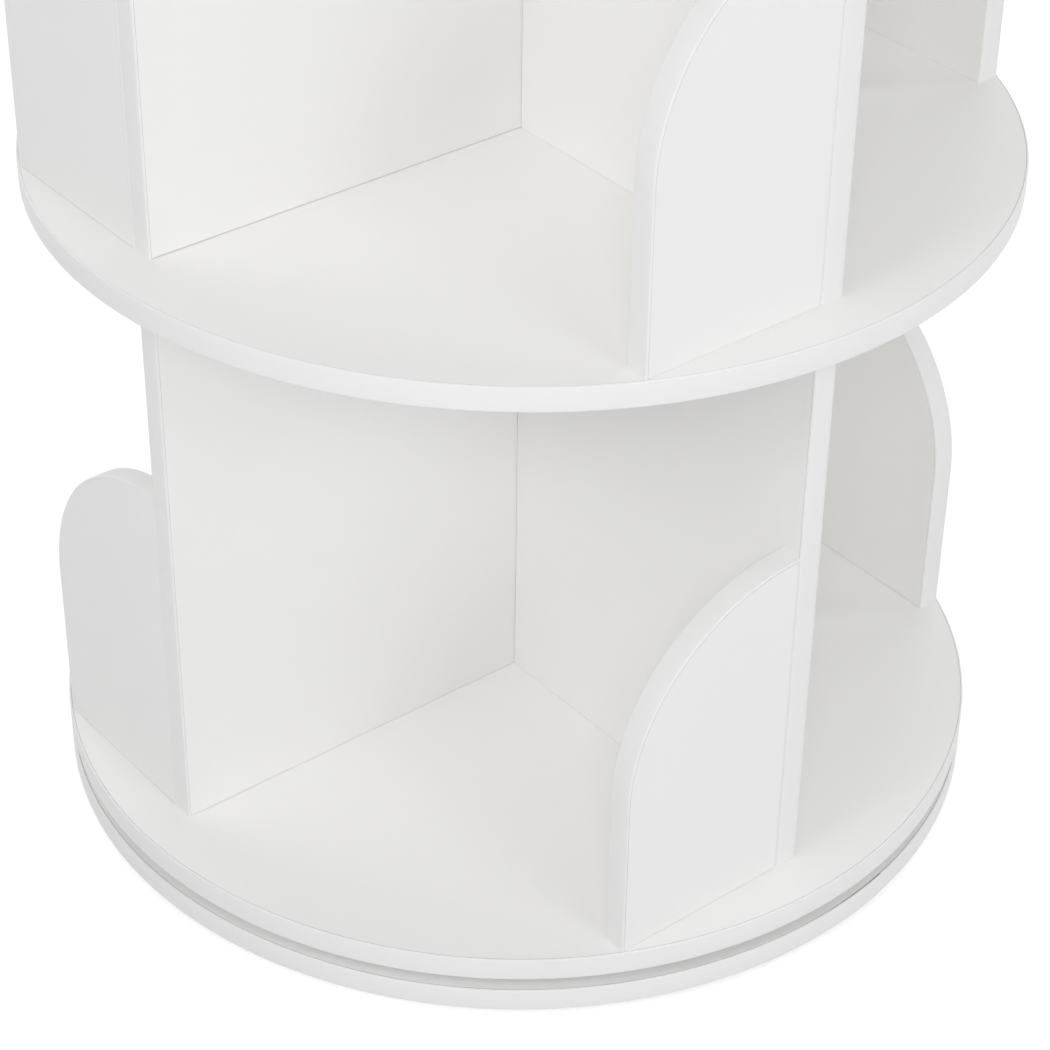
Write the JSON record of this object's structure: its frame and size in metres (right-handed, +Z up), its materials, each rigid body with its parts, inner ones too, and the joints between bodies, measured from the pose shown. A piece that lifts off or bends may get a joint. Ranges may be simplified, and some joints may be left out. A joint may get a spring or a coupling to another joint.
{
  "type": "rotating bookshelf",
  "caption": "Free-standing round book tower of white boards: crossed dividers and arched end panels on round shelves, turning on a ball bearing above a fixed base.",
  "frame": {"origin": "centre of the footprint on the floor, on the axis that the tower turns about", "axes": "+Z up along the turning axis; the crossed dividers lie along X and Y, and the arm that points along -Y is the front one"},
  "size_m": [0.4599, 0.46, 0.65],
  "materials": {
    "white_board": "white melamine film and edge band on particle board, satin",
    "beech": "raw beech",
    "ring_aluminium": "drawn, satin",
    "zinc_steel": "bright zinc plate",
    "ball_steel": "polished",
    "cage_nylon": "moulded nylon",
    "cap_plastic": "moulded, satin",
    "pad_foam": "closed-cell foam, matt"
  },
  "bodies": {
    "base": {"foot_pads": "pad_foam", "base_board": "white_board", "bearing_outer_ring": "ring_aluminium", "outer_ring_screws": "zinc_steel"},
    "rolling_cage": {"bearing_balls": "ball_steel", "ball_cage": "cage_nylon"},
    "tower": {"bearing_inner_ring": "ring_aluminium", "inner_ring_screws": "zinc_steel", "lower_shelf": "white_board", "lower_shelf_divider_screws": "zinc_steel", "lower_shelf_arch_screws": "zinc_steel", "tier_1_divider_left_right": "white_board", "tier_1_divider_front_back": "white_board", "tier_1_arch_right": "white_board", "tier_1_arch_back": "white_board", "tier_1_arch_left": "white_board", "tier_1_arch_front": "white_board", "tier_1_arch_dowels": "beech", "middle_shelf": "white_board", "middle_shelf_divider_screws": "zinc_steel", "middle_shelf_arch_screws": "zinc_steel", "tier_2_divider_dowels": "beech", "tier_2_divider_left_right": "white_board", "tier_2_divider_front_back": "white_board", "tier_2_arch_right": "white_board", "tier_2_arch_back": "white_board", "tier_2_arch_left": "white_board", "tier_2_arch_front": "white_board", "tier_2_arch_dowels": "beech", "top_board": "white_board", "top_board_screws": "zinc_steel", "screw_caps": "cap_plastic"}
  },
  "joints": [
    {"name": "tower_spin", "type": "hinge", "parent": "base", "child": "tower", "pos_m": [0, 0, 0.0185], "axis": [0, 0, 1], "continuous": true},
    {"name": "cage_orbit", "type": "hinge", "parent": "base", "child": "rolling_cage", "pos_m": [0, 0, 0.0185], "axis": [0, 0, 1], "continuous": true}
  ],
  "couplings": [
    {"joint": "cage_orbit", "follows": "tower_spin", "ratio": 0.49476}
  ]
}
